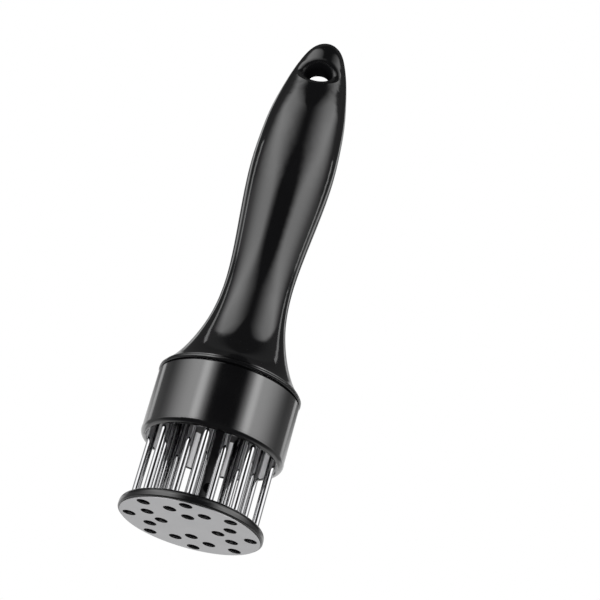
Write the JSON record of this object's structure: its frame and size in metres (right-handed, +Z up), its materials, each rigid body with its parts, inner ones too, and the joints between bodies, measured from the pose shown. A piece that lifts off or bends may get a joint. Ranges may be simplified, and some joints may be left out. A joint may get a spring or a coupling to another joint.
{
  "type": "blade meat tenderizer",
  "caption": "Hand-held push tenderizer: black handle, drum of round pointed steel blades and a sprung round foot whose steel face the blades pass through when the handle is pressed",
  "frame": {"origin": "centre of the steel face's underside, where the part stands with the foot fully out", "axes": "+Z up the handle's axis to the tip; Y along the hang hole; X completes a right-handed frame"},
  "size_m": [0.0552, 0.0552, 0.2114],
  "materials": {
    "handle_black": "glossy moulded black",
    "drum_black": "satin moulded black",
    "foot_black": "glossy moulded black",
    "stem_black": "fine matt black",
    "holder_black": "fine matt black",
    "face_steel": "satin stainless sheet",
    "liner_grey": "fine matt light grey",
    "plate_steel": "plain rolled stainless",
    "blade_steel": "polished stainless rod",
    "screw_steel": "plain stainless",
    "spring_steel": "drawn spring wire"
  },
  "bodies": {
    "handle_and_drum": {"handle": "handle_black", "drum": "drum_black", "drum_liner": "liner_grey", "blade_holder": "holder_black", "backing_plate": "plate_steel", "holder_screws": "screw_steel", "spring_seat": "plate_steel", "return_spring": "spring_steel", "blade_01": "blade_steel", "blade_02": "blade_steel", "blade_03": "blade_steel", "blade_04": "blade_steel", "blade_05": "blade_steel", "blade_06": "blade_steel", "blade_07": "blade_steel", "blade_08": "blade_steel", "blade_09": "blade_steel", "blade_10": "blade_steel", "blade_11": "blade_steel", "blade_12": "blade_steel", "blade_13": "blade_steel", "blade_14": "blade_steel", "blade_15": "blade_steel", "blade_16": "blade_steel", "blade_17": "blade_steel", "blade_18": "blade_steel", "blade_19": "blade_steel", "blade_20": "blade_steel"},
    "foot": {"foot_plate": "foot_black", "face_plate": "face_steel", "guide_stem": "stem_black", "foot_screw": "screw_steel"}
  },
  "joints": [
    {"name": "foot_slide", "type": "slide", "parent": "handle_and_drum", "child": "foot", "axis": [0, 0, 1], "range_m": [0, 0.0252], "stiffness_N_per_m": 300, "springref_m": -0.015, "deforming": ["return_spring"]}
  ]
}
